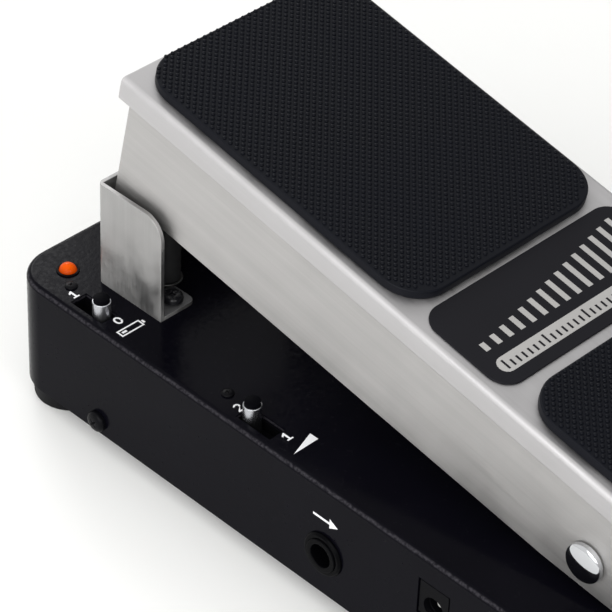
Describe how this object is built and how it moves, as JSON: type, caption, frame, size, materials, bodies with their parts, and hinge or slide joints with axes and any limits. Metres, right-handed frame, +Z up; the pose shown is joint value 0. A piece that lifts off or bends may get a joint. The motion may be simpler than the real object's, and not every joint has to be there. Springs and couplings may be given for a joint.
{
  "type": "rocking effects pedal",
  "caption": "Floor effects pedal: a brushed steel treadle with ribbed rubber pads rocks on a black steel base that holds the sockets, slide switches, lamp and drive gear.",
  "frame": {"origin": "on the floor under the middle of the base", "axes": "+Z up, +Y towards the toe end, -X the player's left, the side with the output jack and the power socket"},
  "size_m": [0.1108, 0.26, 0.1086],
  "materials": {
    "base_powder_coat": "fine satin black powder coat over steel",
    "black_hardware": "black oxide, satin",
    "treadle_steel": "brushed lengthwise, satin",
    "guide_steel": "brushed, satin",
    "bright_steel": "polished plating",
    "zinc": "zinc plated",
    "bracket_steel": "black painted steel",
    "pad_rubber": "dull, moulded with small raised dots",
    "foot_rubber": "dull",
    "sleeve_rubber": "dull",
    "stop_rubber": "dull",
    "badge_black": "matte black with a thin bare line",
    "bush_plastic": "natural nylon",
    "socket_plastic": "black, fine grain",
    "washer_steel": "plain",
    "spring_steel": "oiled wire",
    "lamp_orange": "clear coloured lens",
    "board_green": "solder mask",
    "contact_brass": "plated",
    "capacitor_sleeve": "shrink sleeve",
    "chip_black": "moulded",
    "inductor_ferrite": "ferrite pot core",
    "battery_case": "plain printed can",
    "clip_steel": "spring strip",
    "snap_vinyl": "soft vinyl",
    "lead_insulation": "insulated wire",
    "rack_nylon": "natural nylon",
    "pinion_nylon": "natural nylon",
    "pot_metal": "plain can",
    "label_ink": "screen-printed white ink",
    "jack_black": "black, semi-gloss"
  },
  "bodies": {
    "base": {"base_shell": "base_powder_coat", "bottom_plate": "base_powder_coat", "bottom_plate_screws": "black_hardware", "rubber_feet": "foot_rubber", "foot_screws": "zinc", "m3_nuts": "zinc", "m4_nuts": "zinc", "toe_guide_bracket": "guide_steel", "bracket_screws": "black_hardware", "led_lens": "lamp_orange", "led_bezel": "socket_plastic", "battery_switch_body": "socket_plastic", "bass_switch_body": "socket_plastic", "out_jack_body": "socket_plastic", "in_jack_body": "socket_plastic", "jack_nuts": "jack_black", "jack_lugs": "contact_brass", "power_socket": "socket_plastic", "power_socket_pin": "contact_brass", "circuit_board": "board_green", "board_standoffs": "zinc", "board_screws": "black_hardware", "capacitors": "capacitor_sleeve", "chips": "chip_black", "inductor": "inductor_ferrite", "battery": "battery_case", "battery_snap": "snap_vinyl", "battery_clip": "clip_steel", "battery_leads": "lead_insulation", "signal_leads": "lead_insulation", "pivot_bracket": "bracket_steel", "pivot_bracket_screws": "zinc", "pivot_screws": "bright_steel", "pivot_nuts": "zinc", "pivot_washers": "washer_steel", "heel_stop_bracket": "bracket_steel", "heel_stop_pad": "stop_rubber", "toe_stop_pads": "stop_rubber", "spring_posts": "zinc", "toe_springs": "spring_steel", "spring_sleeves": "sleeve_rubber", "inner_screws": "zinc", "pot_bracket": "clip_steel", "pot_body": "pot_metal", "pot_nut": "zinc", "rack_guide": "socket_plastic"},
    "treadle": {"treadle_channel": "treadle_steel", "treadle_cover": "treadle_steel", "toe_pad": "pad_rubber", "heel_pad": "pad_rubber", "badge_plate": "badge_black", "pivot_bushes": "bush_plastic", "drive_arm": "clip_steel", "drive_pin": "bright_steel", "spring_pegs": "zinc"},
    "rack": {"drive_rack": "rack_nylon"},
    "pinion": {"pinion_gear": "pinion_nylon", "pot_shaft": "pot_metal"},
    "battery_switch": {"battery_switch_knob": "bright_steel"},
    "bass_switch": {"bass_switch_knob": "bright_steel"}
  },
  "joints": [
    {"name": "treadle_hinge", "type": "hinge", "parent": "base", "child": "treadle", "pos_m": [0, -0.054, 0.0515], "axis": [-1, 0, 0], "range_deg": [0, 9.4], "stiffness_Nm_per_rad": 4, "springref_deg": -14.32, "deforming": ["toe_springs", "spring_sleeves"]},
    {"name": "rack_slide", "type": "slide", "parent": "base", "child": "rack", "axis": [0, 0, -1], "range_m": [0, 0.0148]},
    {"name": "pinion_spin", "type": "hinge", "parent": "base", "child": "pinion", "pos_m": [0, 0.02835, 0.0285], "axis": [-1, 0, 0], "range_deg": [0, 142]},
    {"name": "battery_switch_slide", "type": "slide", "parent": "base", "child": "battery_switch", "axis": [0, 1, 0], "range_m": [0, 0.006]},
    {"name": "bass_switch_slide", "type": "slide", "parent": "base", "child": "bass_switch", "axis": [0, -1, 0], "range_m": [0, 0.006]}
  ],
  "couplings": [
    {"joint": "rack_slide", "follows": "treadle_hinge", "m_per_rad": 0.09},
    {"joint": "pinion_spin", "follows": "treadle_hinge", "ratio": 15}
  ]
}
